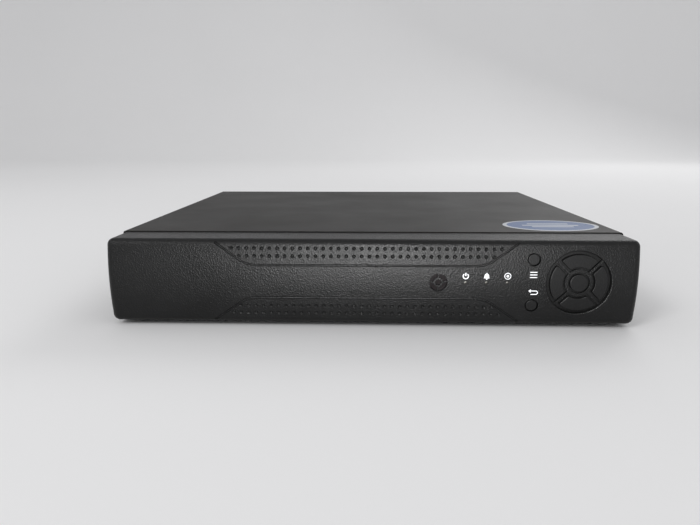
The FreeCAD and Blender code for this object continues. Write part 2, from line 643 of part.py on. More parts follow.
def machine_screws():
    """Main board to its posts, and chassis floor to the drive from below."""
    screws = [pan_screw(V(x, y, MAIN_TOP), V(0, 0, 1), 1.3, 5.0, 2.7, 1.8) for x, y in MAIN_HOLES]
    seat = DRIVE_Z0 - SHEET
    screws += [pan_screw(V(x, y, seat), V(0, 0, -1), 1.6, 4.5, 3.4, 1.7) for x, y in DRIVE_SCREWS]
    return group(screws)


def processor_chip():
    x, y = HEAT_SINK[0], MAIN_FRONT + HEAT_SINK[1]
    return soft_box(x - 9.5, x + 9.5, y - 9.5, y + 9.5, MAIN_TOP, MAIN_TOP + 1.4, 0.4, V(0, 0, 1))


def heat_sink():
    x, y = HEAT_SINK[0], MAIN_FRONT + HEAT_SINK[1]
    half, base = SINK_SIZE / 2, MAIN_TOP + 1.4
    sink = box(x - half, x + half, y - half, y + half, base, base + 11.0)
    fins = 9
    pitch = SINK_SIZE / fins
    gaps = [box(x - half + (i + 0.7) * pitch - 1.2, x - half + (i + 0.7) * pitch + 1.2,
                y - half - 1, y + half + 1, base + 2.4, base + 12) for i in range(fins - 1)]
    return sink.cut(gaps)


def chip(x, y, width, depth, height):
    return box(x - width / 2, x + width / 2, y - depth / 2, y + depth / 2, MAIN_TOP, MAIN_TOP + height)


def board_chips():
    """Memory, flash, video decoders, network and power chips."""
    y = MAIN_FRONT
    parts = [chip(42, y + 22, 13.4, 8.0, 1.1), chip(42, y + 38, 13.4, 8.0, 1.1),
             chip(-20, y + 22, 8.0, 6.0, 1.7), chip(-16, y + 62, 7.0, 7.0, 1.0),
             chip(72, y + 60, 12.0, 12.0, 1.4), chip(92, y + 58, 9.0, 9.0, 1.4),
             chip(-44, y + 34, 5.0, 6.2, 1.6), chip(-44, y + 50, 5.0, 6.2, 1.6),
             chip(36, y + 66, 9.8, 5.6, 1.5), chip(8, y + 68, 6.0, 5.0, 1.2)]
    for i in range(3):
        parts.append(chip(-58, y + 18 + i * 14, 7.0, 7.0, 3.2))
    return group(parts)


def capacitors():
    """Upright electrolytic capacitors beside the power input."""
    places = ((-60, 74, 4.0, 11.0), (-48, 76, 4.0, 11.0), (-34, 50, 3.15, 7.7), (-34, 40, 3.15, 7.7),
              (66, 34, 3.15, 7.7), (92, 38, 3.15, 7.7), (-26, 76, 3.15, 7.7))
    cans = []
    for x, dy, r, h in places:
        y = MAIN_FRONT + dy
        can = rod_z(x, y, r, MAIN_TOP, MAIN_TOP + h)
        top = [e for e in can.Edges if e.BoundBox.ZMin > MAIN_TOP + h - 1e-3]
        cans.append(can.makeFillet(0.4, top))
    return group(cans)


def coin_cell_holder():
    x, y = CELL[0], MAIN_FRONT + CELL[1]
    cup = rod_z(x, y, 11.6, MAIN_TOP, MAIN_TOP + 4.6).cut(rod_z(x, y, 10.15, MAIN_TOP + 1.0, MAIN_TOP + 9))
    return cup.cut(box(x - 4, x + 4, y - 13, y - 8, MAIN_TOP + 1.0, MAIN_TOP + 9))


def coin_cell():
    x, y = CELL[0], MAIN_FRONT + CELL[1]
    cell = rod_z(x, y, 10.0, MAIN_TOP + 1.0, MAIN_TOP + 4.2)
    return cell.makeFillet(0.5, [e for e in cell.Edges if e.BoundBox.ZMin > MAIN_TOP + 4.1])


def buzzer():
    x, y = -44.0, MAIN_FRONT + 16.0
    can = rod_z(x, y, 6.0, MAIN_TOP, MAIN_TOP + 8.5)
    return can.cut(rod_z(x, y, 1.0, MAIN_TOP + 7.0, MAIN_TOP + 9))


# ---- rear connectors ----------------------------------------------------------------------------
def d_shape(x, z, half_w, half_h, y0, y1):
    """The outline of a D connector: its lower side is the shorter one."""
    lean = half_h * 0.36
    outline = [(x - half_w, z + half_h), (x + half_w, z + half_h),
               (x + half_w - lean, z - half_h), (x - half_w + lean, z - half_h)]
    block = extruded_outline(outline, y0, y1)
    upright = [e for e in block.Edges if abs(e.BoundBox.YLength - (y1 - y0)) < 1e-6]
    return block.makeFillet(1.6, upright)


def bnc_places():
    return [(x, z) for z in reversed(BNC_Z) for x in BNC_X]


def bnc_housing():
    """The black block behind the rear panel that carries the four video jacks."""
    x0, x1 = min(BNC_X) - 7.2, max(BNC_X) + 7.2
    block = soft_box(x0, x1, PANEL - SHEET - 16.0, PANEL - SHEET - 0.2, MAIN_TOP, max(BNC_Z) + 7.0,
                     1.0, V(0, 1, 0))
    bores = [rod_y(x, z, 4.2, PANEL - SHEET - 10.0, PANEL) for x, z in bnc_places()]
    return block.cut(bores)


def bnc_jacks():
    """Four bayonet jacks: collar at the panel, barrel with two lugs, open inside."""
    jacks = []
    end, base = REAR + JACK_REACH, PANEL - SHEET - 0.2
    for x, z in bnc_places():
        collar = rod_y(x, z, BNC_HOLE_R, base, PANEL + 1.6)
        nose = rod_y(x, z, BNC_R, end - BNC_NOSE, end)
        mouth = [e for e in nose.Edges if e.BoundBox.YMin > end - 1e-3]
        nose = nose.makeFillet(0.3, mouth)
        neck = rod_y(x, z, BNC_NECK_R, base, end - BNC_NOSE + 0.1)
        reach = BNC_R + 0.85
        lugs = Part.makeCylinder(BNC_LUG_R, 2 * reach, V(x - reach, end - BNC_NOSE - BNC_LUG_R - 0.1, z),
                                 V(1, 0, 0))
        tail = rod_y(x, z, 4.15, base - 9.5, base)
        body = joined([collar, nose, neck, lugs, tail])
        bore = rod_y(x, z, 4.1, PANEL + 2.0, end + 1)
        core = rod_y(x, z, 2.45, base - 10, end + 1)
        jacks.append(body.cut([bore, core]))
    return group(jacks)


def bnc_inserts():
    """White insulators along the middle of the jacks."""
    inserts = []
    for x, z in bnc_places():
        rod = rod_y(x, z, 2.4, PANEL - SHEET - 9.0, REAR + JACK_REACH - 2.0)
        inserts.append(rod.cut(rod_y(x, z, 1.1, PANEL, REAR + JACK_REACH + 1)))
    return group(inserts)


def jack_contacts():
    """Metal contacts: the jacks' centre sockets, the power pin and the network socket's springs."""
    contacts = []
    for x, z in bnc_places():
        contacts.append(tube_y(x, z, 1.05, 0.6, PANEL + 0.1, REAR + JACK_REACH - 2.4))
    pin = rod_y(POWER_X, POWER_Z, 1.05, PANEL - 8.0, PANEL + 0.2)
    tip = [e for e in pin.Edges if e.BoundBox.YMin > PANEL + 0.1]
    contacts.append(pin.makeFillet(0.6, tip))
    for i in range(8):
        x = NETWORK_X + (i - 3.5) * 1.02
        contacts.append(box(x - 0.2, x + 0.2, PANEL - 10.0, PANEL - 2.5,
                            MAIN_TOP + 9.9, MAIN_TOP + 10.3))
    return group(contacts)


def audio_jack_housing():
    block = soft_box(AUDIO_X - 5.0, AUDIO_X + 5.0, PANEL - SHEET - 13.0, PANEL - SHEET - 0.2,
                     MAIN_TOP, max(AUDIO_Z) + 5.2, 0.8, V(0, 1, 0))
    noses = [rod_y(AUDIO_X, z, 3.35, PANEL - SHEET - 1.0, REAR + 9.0) for z in AUDIO_Z]
    holes = [rod_y(AUDIO_X, z, 1.6, PANEL - 6.0, REAR + 10.0) for z in AUDIO_Z]
    return joined([block] + noses).cut(holes)


def audio_jacks():
    """Plain round sleeves round the audio jacks' noses, with a collar at the panel."""
    sleeves = []
    for z in AUDIO_Z:
        sleeve = tube_y(AUDIO_X, z, AUDIO_R, 3.4, PANEL - SHEET - 0.2, REAR + 9.5)
        collar = tube_y(AUDIO_X, z, 5.2, 3.4, PANEL + GAP, PANEL + 1.2)
        sleeves.append(joined([sleeve, collar]))
    return group(sleeves)


def monitor_port():
    """Metal flange behind the panel and D-shaped shell through it."""
    y_in = PANEL - SHEET - GAP
    flange = soft_box(MONITOR_X - 15.4, MONITOR_X + 15.4, y_in - 1.0, y_in,
                      MONITOR_Z - 6.2, MONITOR_Z + 6.2, 2.0, V(0, 1, 0))
    shell = d_shape(MONITOR_X, MONITOR_Z, 8.6, 4.3, y_in - 1.0, REAR + 4.6)
    room = d_shape(MONITOR_X, MONITOR_Z, 8.1, 3.8, y_in - 3.0, REAR + 6)
    holes = [rod_y(MONITOR_X + s * MONITOR_SPACING / 2, MONITOR_Z, 1.7, y_in - 3, y_in + 2)
             for s in (-1, 1)]
    return joined([flange, shell]).cut([room] + holes)


def monitor_port_body():
    """The plastic body behind the flange and its tongue with fifteen sockets."""
    y_in = PANEL - SHEET - GAP
    body = box(MONITOR_X - 15.4, MONITOR_X + 15.4, y_in - 10.0, y_in - 1.0 - GAP,
               MAIN_TOP, MONITOR_Z + 6.2)
    tongue = d_shape(MONITOR_X, MONITOR_Z, 8.0, 3.7, y_in - 1.5, REAR + 3.8)
    sockets = []
    for row, count in ((1, 5), (0, 5), (-1, 5)):
        shift = 0.57 if row == 0 else -0.57
        for i in range(count):
            x = MONITOR_X + (i - 2) * 2.29 + shift
            sockets.append(rod_y(x, MONITOR_Z + row * 1.98, 0.6, REAR - 2, REAR + 5))
    wells = [rod_y(MONITOR_X + s * MONITOR_SPACING / 2, MONITOR_Z, 1.7, y_in - 8, y_in) for s in (-1, 1)]
    return joined([body, tongue]).cut(sockets + wells)


def monitor_port_posts():
    """Hexagonal posts that clamp the port to the panel and take the plug's screws."""
    posts = []
    for s in (-1, 1):
        x = MONITOR_X + s * MONITOR_SPACING / 2
        angles = [math.radians(60 * k) for k in range(6)]
        ring = [(x + 2.75 * math.cos(a), MONITOR_Z + 2.75 * math.sin(a)) for a in angles]
        post = extruded_outline(ring, PANEL + GAP, PANEL + 5.6)
        post = post.fuse(rod_y(x, MONITOR_Z, 1.42, PANEL - 7.0, PANEL + 1))
        posts.append(post.cut(rod_y(x, MONITOR_Z, MONITOR_SCREW_R, PANEL + 0.6, PANEL + 7)))
    return group(posts)


def digital_video_outline(half_w, half_h, y0, y1):
    """The six-sided outline of the port, narrower along its lower side."""
    step = 2.1
    return extruded_outline([
        (DIGITAL_X - half_w, DIGITAL_Z + half_h), (DIGITAL_X + half_w, DIGITAL_Z + half_h),
        (DIGITAL_X + half_w, DIGITAL_Z - half_h + step), (DIGITAL_X + half_w - step, DIGITAL_Z - half_h),
        (DIGITAL_X - half_w + step, DIGITAL_Z - half_h), (DIGITAL_X - half_w, DIGITAL_Z - half_h + step),
    ], y0, y1)


def digital_video_port():
    shell = digital_video_outline(7.5, 2.85, DIGITAL_BACK, PANEL + 0.8)
    return shell.cut(digital_video_outline(7.1, 2.4, DIGITAL_BACK + 1.0, PANEL + 2))


def usb_ports():
    block = soft_box(USB_X - 7.2, USB_X + 7.2, PANEL - 17.0, PANEL + 0.8, MAIN_TOP, MAIN_TOP + USB_H,
                     0.5, V(0, 1, 0))
    rooms = [box(USB_X - 6.4, USB_X + 6.4, PANEL - 14.0, PANEL + 2, z - 2.75, z + 2.75)
             for z in USB_CENTRES]
    return block.cut(rooms)


def port_tongues():
    """The plastic tongues inside the two serial ports and the display port."""
    tongues = [box(USB_X - 5.6, USB_X + 5.6, PANEL - 14.0, PANEL - 1.0, z + 0.1, z + 1.95)
               for z in USB_CENTRES]
    tongues.append(box(DIGITAL_X - 5.6, DIGITAL_X + 5.6, DIGITAL_BACK + 1.0, PANEL - 0.6,
                       DIGITAL_Z - 0.1, DIGITAL_Z + 0.9))
    return group(tongues)


def network_port():
    """A shielded network socket, stepped below for the plug's latch."""
    shell = soft_box(NETWORK_X - 8.0, NETWORK_X + 8.0, PANEL - 21.0, PANEL + 0.8,
                     MAIN_TOP, MAIN_TOP + NETWORK_H, 0.5, V(0, 1, 0))
    y0 = PANEL - 14.0
    room = box(NETWORK_X - 5.95, NETWORK_X + 5.95, y0, PANEL + 2, MAIN_TOP + 4.1, MAIN_TOP + 11.4)
    latch = box(NETWORK_X - 3.1, NETWORK_X + 3.1, y0, PANEL + 2, MAIN_TOP + 2.6, MAIN_TOP + 5)
    notch = box(NETWORK_X - 1.7, NETWORK_X + 1.7, y0, PANEL + 2, MAIN_TOP + 1.3, MAIN_TOP + 3)
    return shell.cut([room, latch, notch])


def power_inlet():
    """A barrel socket: square body behind the panel, round nose through it."""
    body = soft_box(POWER_X - 4.6, POWER_X + 4.6, PANEL - SHEET - 13.5, PANEL - SHEET - 0.2,
                    MAIN_TOP, MAIN_TOP + 11.0, 0.5, V(0, 1, 0))
    nose = rod_y(POWER_X, POWER_Z, 4.1, PANEL - SHEET - 1, PANEL + 0.8)
    bore = rod_y(POWER_X, POWER_Z, 3.15, PANEL - 9.0, PANEL + 2)
    seat = rod_y(POWER_X, POWER_Z, 1.1, PANEL - 12.0, PANEL)
    return joined([body, nose]).cut([bore, seat])


# ---- hard drive ---------------------------------------------------------------------------------
def drive_base():
    """The drive's cast base, with a round well for the discs and a bay for the arm."""
    x0, y0, z0 = DRIVE_X0, DRIVE_Y0, DRIVE_Z0
    casting = soft_box(x0, x0 + DRIVE[0], y0, y0 + DRIVE[1], z0, z0 + DRIVE[2] - 1.2, 3.0, V(0, 0, 1))
    well = rod_z(SPINDLE[0], SPINDLE[1], DISC_R + 1.6, z0 + 7.0, z0 + 40)
    bay = soft_box(x0 + 84.0, x0 + DRIVE[0] - DRIVE_WALL, y0 + 6.0, y0 + DRIVE[1] - 6.0,
                   z0 + 7.0, z0 + 40, 4.0, V(0, 0, 1))
    bearing = rod_z(SPINDLE[0], SPINDLE[1], 5.0, z0 + 3.0, z0 + 8)
    pivot = rod_z(ARM_PIVOT[0], ARM_PIVOT[1], 3.05, z0 + 3.0, z0 + 8)
    holes = [rod_z(x, y, 1.7, z0 - 1, z0 + 4.5) for x, y in DRIVE_SCREWS]
    holes.append(soft_box(x0 + 65.0, x0 + 108.5, y0 + 7.0, y0 + DRIVE[1] - 7.0, z0 - 1, z0 + 2.3, 2.5,
                          V(0, 0, 1)))
    socket = box(x0 + DRIVE[0] - 6.0, x0 + DRIVE[0] + 1, DRIVE_SOCKET_Y - 21.0, DRIVE_SOCKET_Y + 21.0,
                 z0 - 1, z0 + 6.0)
    return casting.cut([well, bay, bearing, pivot, socket] + holes)


def drive_lid():
    x0, y0, top = DRIVE_X0, DRIVE_Y0, DRIVE_Z0 + DRIVE[2]
    lid = soft_box(x0 + 0.5, x0 + DRIVE[0] - 0.5, y0 + 0.5, y0 + DRIVE[1] - 0.5, top - 1.2 + GAP, top,
                   3.0, V(0, 0, 1))
    return lid


def drive_platters():
    """Two discs on their hub and shaft, which turn together."""
    x, y, z0 = SPINDLE[0], SPINDLE[1], DRIVE_Z0
    hub = rod_z(x, y, 13.0, z0 + 8.0, z0 + 21.0)
    shaft = rod_z(x, y, 4.95, z0 + 3.4, z0 + 8.5)
    discs = [rod_z(x, y, DISC_R, z0 + z, z0 + z + 1.3) for z in (10.5, 15.5)]
    return joined([hub, shaft] + discs)


def drive_arm():
    """The head arm: pivot shaft, one blade above each disc and one below, and its coil."""
    x, y, z0 = ARM_PIVOT[0], ARM_PIVOT[1], DRIVE_Z0
    shaft = rod_z(x, y, 3.0, z0 + 3.4, z0 + 8.5)
    barrel = rod_z(x, y, 7.5, z0 + 8.0, z0 + 21.0)
    pieces = [shaft, barrel]
    for z in (8.6, 12.9, 18.0):
        blade = [V(x - 6, y - 4, z0 + z), V(x - 6, y + 4, z0 + z), V(x - 50, y + 1.5, z0 + z),
                 V(x - 50, y - 1.5, z0 + z), V(x - 6, y - 4, z0 + z)]
        pieces.append(Part.Face(Part.makePolygon(blade)).extrude(V(0, 0, 1.2)))
    coil = [V(x + 5, y - 4, z0 + 12), V(x + 17, y - 8, z0 + 12), V(x + 17, y + 8, z0 + 12),
            V(x + 5, y + 4, z0 + 12), V(x + 5, y - 4, z0 + 12)]
    pieces.append(Part.Face(Part.makePolygon(coil)).extrude(V(0, 0, 3.0)))
    arm = joined(pieces)
    arm.rotate(V(x, y, 0), V(0, 0, 1), ARM_REST)
    return arm


def drive_magnets():
    """The magnet under the head arm's coil."""
    x, y, z0 = ARM_PIVOT[0], ARM_PIVOT[1], DRIVE_Z0
    fan = [V(x + 9, y - 19, z0 + 7 + GAP), V(x + 30, y - 14, z0 + 7 + GAP), V(x + 30, y + 12, z0 + 7 + GAP),
           V(x + 12, y + 10, z0 + 7 + GAP), V(x + 9, y - 19, z0 + 7 + GAP)]
    return Part.Face(Part.makePolygon(fan)).extrude(V(0, 0, 4.0))


def drive_circuit_board():
    """The drive's own circuit board, in a shallow recess of the casting's underside."""
    x0, y0, z0 = DRIVE_X0, DRIVE_Y0, DRIVE_Z0
    return soft_box(x0 + 66.0, x0 + 107.5, y0 + 8.0, y0 + DRIVE[1] - 8.0, z0 + 0.6, z0 + 2.2, 2.0,
                    V(0, 0, 1))


# ---- cables inside the case ---------------------------------------------------------------------


def drive_cable():
    """The drive's sleeved lead, from its plug on the drive to its plug on the main board."""
    start_x = DRIVE_X0 + DRIVE[0] + 10.0
    y = DRIVE_SOCKET_Y
    points = [V(start_x, y, LEAD_Z), V(start_x + 14, y, LEAD_Z), V(start_x + 27, y + 5, LEAD_Z + 0.8),
              V(LEAD_PORT_X, y + 19, LEAD_PORT_Z), V(LEAD_PORT_X, MAIN_FRONT - 5.0, LEAD_PORT_Z)]
    route = rounded_route(points)
    end = Part.Wire(Part.makeCircle(2.4, points[0], points[1] - points[0]))
    return route.makePipeShell([end], True, True)


def ribbon_cable():
    """A flat lead from the back of the front board, over the drive's lead, down to the main board."""
    y0, y1 = BOARD_Y + BOARD_T + 9.0, RIBBON_PORT_Y
    points = [V(RIBBON_X, y0, RIBBON_Z), V(RIBBON_X, y0 + 28, RIBBON_Z), V(RIBBON_X, y0 + 52, RIBBON_Z - 6),
              V(RIBBON_X, y1 - 24, RIBBON_Z - 1), V(RIBBON_X, y1, RIBBON_Z + 1),
              V(RIBBON_X, y1, MAIN_TOP + 12.0)]
    route = rounded_route(points)
    x0, x1, half = RIBBON_X - RIBBON_W / 2, RIBBON_X + RIBBON_W / 2, RIBBON_T / 2
    corners = [V(x0, y0, RIBBON_Z - half), V(x1, y0, RIBBON_Z - half), V(x1, y0, RIBBON_Z + half),
               V(x0, y0, RIBBON_Z + half), V(x0, y0, RIBBON_Z - half)]
    return route.makePipeShell([Part.makePolygon(corners)], True, True)


def cable_plugs():
    """The plugs and headers at the four ends of the two inner leads."""
    face = BOARD_Y + BOARD_T
    front_plug = box(RIBBON_X - 7.6, RIBBON_X + 7.6, face, face + 9.0, RIBBON_Z - 3.0, RIBBON_Z + 3.0)
    main_plug = box(RIBBON_X - 7.6, RIBBON_X + 7.6, RIBBON_PORT_Y - 3.0, RIBBON_PORT_Y + 3.0,
                    MAIN_TOP, MAIN_TOP + 12.0)
    drive_plug = box(DRIVE_X0 + DRIVE[0] - 5.9, DRIVE_X0 + DRIVE[0] + 10.0,
                     DRIVE_SOCKET_Y - 20.0, DRIVE_SOCKET_Y + 20.0, LEAD_Z - 2.7, LEAD_Z + 2.7)
    port_plug = box(LEAD_PORT_X - 9.0, LEAD_PORT_X + 9.0, MAIN_FRONT - 5.0, MAIN_FRONT + 9.0,
                    MAIN_TOP, MAIN_TOP + 8.0)
    return group([front_plug, main_plug, drive_plug, port_plug])


# ---- all nodes ----------------------------------------------------------------------------------
def nodes():
    made = {
        "front_bezel": front_bezel, "ir_window": ir_window, "top_cover": top_cover,
        "cover_sticker": cover_sticker, "bottom_chassis": bottom_chassis, "rubber_feet": rubber_feet,
        "foot_screws": foot_screws, "cover_screws": cover_screws,
        "self_tapping_screws": self_tapping_screws, "front_board": front_board,
        "tact_switches": tact_switches, "indicator_lamps": indicator_lamps,
        "ir_receiver": ir_receiver, "ribbon_cable": ribbon_cable,
        "drive_cable": drive_cable, "cable_plugs": cable_plugs, "main_board": main_board,
        "processor_chip": processor_chip, "heat_sink": heat_sink, "board_chips": board_chips,
        "capacitors": capacitors, "coin_cell": coin_cell, "coin_cell_holder": coin_cell_holder,
        "buzzer": buzzer, "board_standoffs": board_standoffs, "machine_screws": machine_screws,
        "bnc_housing": bnc_housing, "bnc_jacks": bnc_jacks, "bnc_inserts": bnc_inserts,
        "jack_contacts": jack_contacts, "audio_jack_housing": audio_jack_housing,
        "audio_jacks": audio_jacks, "monitor_port": monitor_port, "monitor_port_body": monitor_port_body,
        "monitor_port_posts": monitor_port_posts, "digital_video_port": digital_video_port,
        "usb_ports": usb_ports,
        "port_tongues": port_tongues, "network_port": network_port, "power_inlet": power_inlet,
        "drive_base": drive_base, "drive_lid": drive_lid, "drive_platters": drive_platters,
        "drive_arm": drive_arm, "drive_magnets": drive_magnets,
        "drive_circuit_board": drive_circuit_board,
    }
    for name in key_places():
        made[name + "_key"] = lambda name=name: key(name)
        made[name + "_plunger"] = lambda name=name: plunger(name)
    return made


def main():
    os.makedirs("parts", exist_ok=True)
    for name, make in nodes().items():
        shape = make()
        print(name, len(shape.Solids), "solids", round(shape.Volume / 1000, 2), "cm3",
              "" if shape.isValid() else "NOT VALID")
        shape.exportStep("parts/" + name + ".step")


main()
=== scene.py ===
"""Looks of the desktop video recorder: its materials, printed signs and label, and a plain studio.
Everything is in metres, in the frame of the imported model: +Z up, front towards -Y."""

import json
import math

import bpy
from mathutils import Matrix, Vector
from mathutils.bvhtree import BVHTree


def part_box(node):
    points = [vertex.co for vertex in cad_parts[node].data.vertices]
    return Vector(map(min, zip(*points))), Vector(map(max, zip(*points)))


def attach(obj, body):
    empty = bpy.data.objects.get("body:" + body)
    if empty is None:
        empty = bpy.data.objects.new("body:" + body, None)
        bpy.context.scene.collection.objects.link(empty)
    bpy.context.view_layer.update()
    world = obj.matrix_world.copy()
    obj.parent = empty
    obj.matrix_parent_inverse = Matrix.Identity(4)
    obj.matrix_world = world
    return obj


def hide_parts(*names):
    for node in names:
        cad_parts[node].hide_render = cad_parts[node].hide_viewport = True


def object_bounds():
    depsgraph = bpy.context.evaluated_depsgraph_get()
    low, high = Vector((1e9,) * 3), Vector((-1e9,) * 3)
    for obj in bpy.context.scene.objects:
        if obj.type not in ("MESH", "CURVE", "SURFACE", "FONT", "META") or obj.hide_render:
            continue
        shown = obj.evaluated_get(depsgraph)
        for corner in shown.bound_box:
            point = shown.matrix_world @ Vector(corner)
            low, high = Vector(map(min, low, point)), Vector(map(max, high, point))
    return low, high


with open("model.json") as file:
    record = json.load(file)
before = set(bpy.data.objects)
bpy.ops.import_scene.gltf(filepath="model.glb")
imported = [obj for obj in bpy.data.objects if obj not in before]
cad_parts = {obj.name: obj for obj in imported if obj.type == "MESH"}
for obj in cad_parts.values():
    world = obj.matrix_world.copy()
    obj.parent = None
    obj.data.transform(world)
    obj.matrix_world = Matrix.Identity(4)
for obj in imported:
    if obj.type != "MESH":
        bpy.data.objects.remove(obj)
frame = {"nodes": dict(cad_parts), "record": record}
CAD_LOW, CAD_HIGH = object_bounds()
MM = 0.001


# ---- material graphs ----------------------------------------------------------------------------
class Graph:
    """One material's node tree, with short calls for the nodes that the surfaces here need."""

    def __init__(self, name):
        self.material = bpy.data.materials.new(name)
        self.material.use_nodes = True
        self.tree = self.material.node_tree
        self.shader = self.tree.nodes["Principled BSDF"]
        self.place = self.tree.nodes.new("ShaderNodeTexCoord").outputs["Object"]

    def put(self, target, value):
        """Links value to the target socket, or sets it there if it is a plain number or colour."""
        if isinstance(value, bpy.types.NodeSocket):
            self.tree.links.new(value, target)
        else:
            target.default_value = value

    def stretched(self, scale):
        """The object's own coordinates, scaled differently along X, Y and Z."""
        mapping = self.tree.nodes.new("ShaderNodeMapping")
        mapping.inputs["Scale"].default_value = scale
        self.put(mapping.inputs["Vector"], self.place)
        return mapping.outputs["Vector"]

    def noise(self, size, detail=2.0, roughness=0.5, place=None):
        """Cloudy noise with features about size metres across, from 0 to 1."""
        node = self.tree.nodes.new("ShaderNodeTexNoise")
        node.inputs["Scale"].default_value = 1 / size
        node.inputs["Detail"].default_value = detail
        node.inputs["Roughness"].default_value = roughness
        self.put(node.inputs["Vector"], self.place if place is None else place)
        return node.outputs["Fac"]

    def cells(self, size, feature="SMOOTH_F1", place=None):
        """Rounded grains about size metres across: the distance from each grain's middle."""
        node = self.tree.nodes.new("ShaderNodeTexVoronoi")
        node.feature = feature
        node.inputs["Scale"].default_value = 1 / size
        self.put(node.inputs["Vector"], self.place if place is None else place)
        return node.outputs["Distance"]

    def spread(self, value, low, high, start=0.0, end=1.0):
        """value taken from start..end to low..high, and held at those limits."""
        node = self.tree.nodes.new("ShaderNodeMapRange")
        for name, number in (("From Min", start), ("From Max", end), ("To Min", low), ("To Max", high)):
            node.inputs[name].default_value = number
        self.put(node.inputs["Value"], value)
        return node.outputs["Result"]

    def math(self, kind, a, b=0.0):
        node = self.tree.nodes.new("ShaderNodeMath")
        node.operation = kind
        self.put(node.inputs[0], a)
        self.put(node.inputs[1], b)
        return node.outputs[0]

    def mix(self, amount, a, b):
        """Colour a where amount is 0 and colour b where it is 1."""
        node = self.tree.nodes.new("ShaderNodeMix")
        node.data_type = "RGBA"
        self.put(node.inputs["Factor"], amount)
        self.put(node.inputs["A"], a)
        self.put(node.inputs["B"], b)
        return node.outputs["Result"]

    def bump(self, height, distance, strength=1.0, below=None):
        node = self.tree.nodes.new("ShaderNodeBump")
        node.inputs["Distance"].default_value = distance
        node.inputs["Strength"].default_value = strength
        self.put(node.inputs["Height"], height)
        if below is not None:
            self.put(node.inputs["Normal"], below)
        return node.outputs["Normal"]

    def finish(self, **inputs):
        """Sets or links the shader's inputs by name, with _ for a space, and returns the material."""
        for name, value in inputs.items():
            self.put(self.shader.inputs[name.replace("_", " ")], value)
        return self.material


def grey(level, warm=0.0):
    """A grey of that level, shifted towards red and away from blue by warm."""
    return (level * (1 + warm), level, level * (1 - warm), 1.0)


# ---- the surfaces -------------------------------------------------------------------------------
def spark_plastic(name, level, grain, depth, rough, specular):
    """Black moulded plastic with the fine pebbled grain of a spark-eroded mould."""
    g = Graph(name)
    pebbles = g.cells(grain)
    fine = g.noise(grain * 0.6, 3.0)
    relief = g.math("ADD", g.math("MULTIPLY", pebbles, 0.9), g.math("MULTIPLY", fine, 0.7))
    worn = g.noise(28 * MM, 3.0)
    shade = g.spread(g.math("ADD", fine, worn), 0.0, 1.0, 0.7, 1.3)
    return g.finish(
        Base_Color=g.mix(shade, grey(level * 0.75), grey(level * 1.25, -0.02)),
        Roughness=g.spread(g.math("ADD", pebbles, worn), rough - 0.05, rough + 0.07, 0.5, 1.4),
        Specular_IOR_Level=specular,
        Normal=g.bump(relief, depth, 0.8, g.bump(worn, 0.02 * MM, 0.4)),
    )


def powder_coat(name, level, warm, rough, specular):
    """Black powder coat: fine orange peel over tiny grains."""
    g = Graph(name)
    peel = g.noise(0.9 * MM, 2.0)
    grains = g.cells(0.35 * MM)
    cloud = g.noise(45 * MM, 3.0)
    shade = g.spread(g.math("ADD", grains, cloud), 0.0, 1.0, 0.5, 1.2)
    return g.finish(
        Base_Color=g.mix(shade, grey(level * 0.85, warm), grey(level * 1.15, warm)),
        Roughness=g.spread(cloud, rough - 0.04, rough + 0.05, 0.3, 0.7),
        Specular_IOR_Level=specular,
        Normal=g.bump(grains, 0.03 * MM, 0.5, g.bump(peel, 0.06 * MM, 0.5)),
    )


def plain_plastic(name, colour, rough, specular=0.5):
    """Smooth moulded plastic with a faint flow pattern and small dull patches."""
    g = Graph(name)
    flow = g.noise(4 * MM, 3.0)
    fine = g.noise(0.4 * MM, 2.0)
    dark = tuple(c * 0.82 for c in colour[:3]) + (1.0,)
    return g.finish(
        Base_Color=g.mix(g.spread(flow, 0.0, 1.0, 0.35, 0.65), dark, colour),
        Roughness=g.spread(flow, rough - 0.05, rough + 0.08, 0.3, 0.7),
        Specular_IOR_Level=specular,
        Normal=g.bump(fine, 0.015 * MM, 0.5),
    )


def rubber(name):
    """Dull black rubber with pale dust."""
    g = Graph(name)
    dust = g.noise(2.2 * MM, 4.0)
    fine = g.noise(0.3 * MM, 2.0)
    return g.finish(
        Base_Color=g.mix(g.spread(dust, 0.0, 0.5, 0.5, 0.75), grey(0.012), grey(0.06, 0.06)),
        Roughness=g.spread(dust, 0.68, 0.9, 0.3, 0.7),
        Specular_IOR_Level=0.3,
        Normal=g.bump(fine, 0.04 * MM, 0.6),
    )


def metal(name, colour, rough, streaks=(1, 1, 1), size=0.5 * MM, depth=0.01 * MM, stain=0.15):
    """Bare or plated metal: brushed if streaks is uneven, with faint stains in its tone."""
    g = Graph(name)
    lines = g.noise(size, 3.0, 0.6, g.stretched(streaks))
    cloud = g.noise(5 * MM, 3.0)
    dull = tuple(c * (1 - stain) for c in colour[:3]) + (1.0,)
    return g.finish(
        Base_Color=g.mix(g.spread(cloud, 0.0, 1.0, 0.35, 0.65), dull, colour),
        Metallic=1.0,
        Roughness=g.spread(g.math("ADD", lines, cloud), rough * 0.75, rough * 1.35, 0.6, 1.4),
        Normal=g.bump(lines, depth, 0.6),
    )


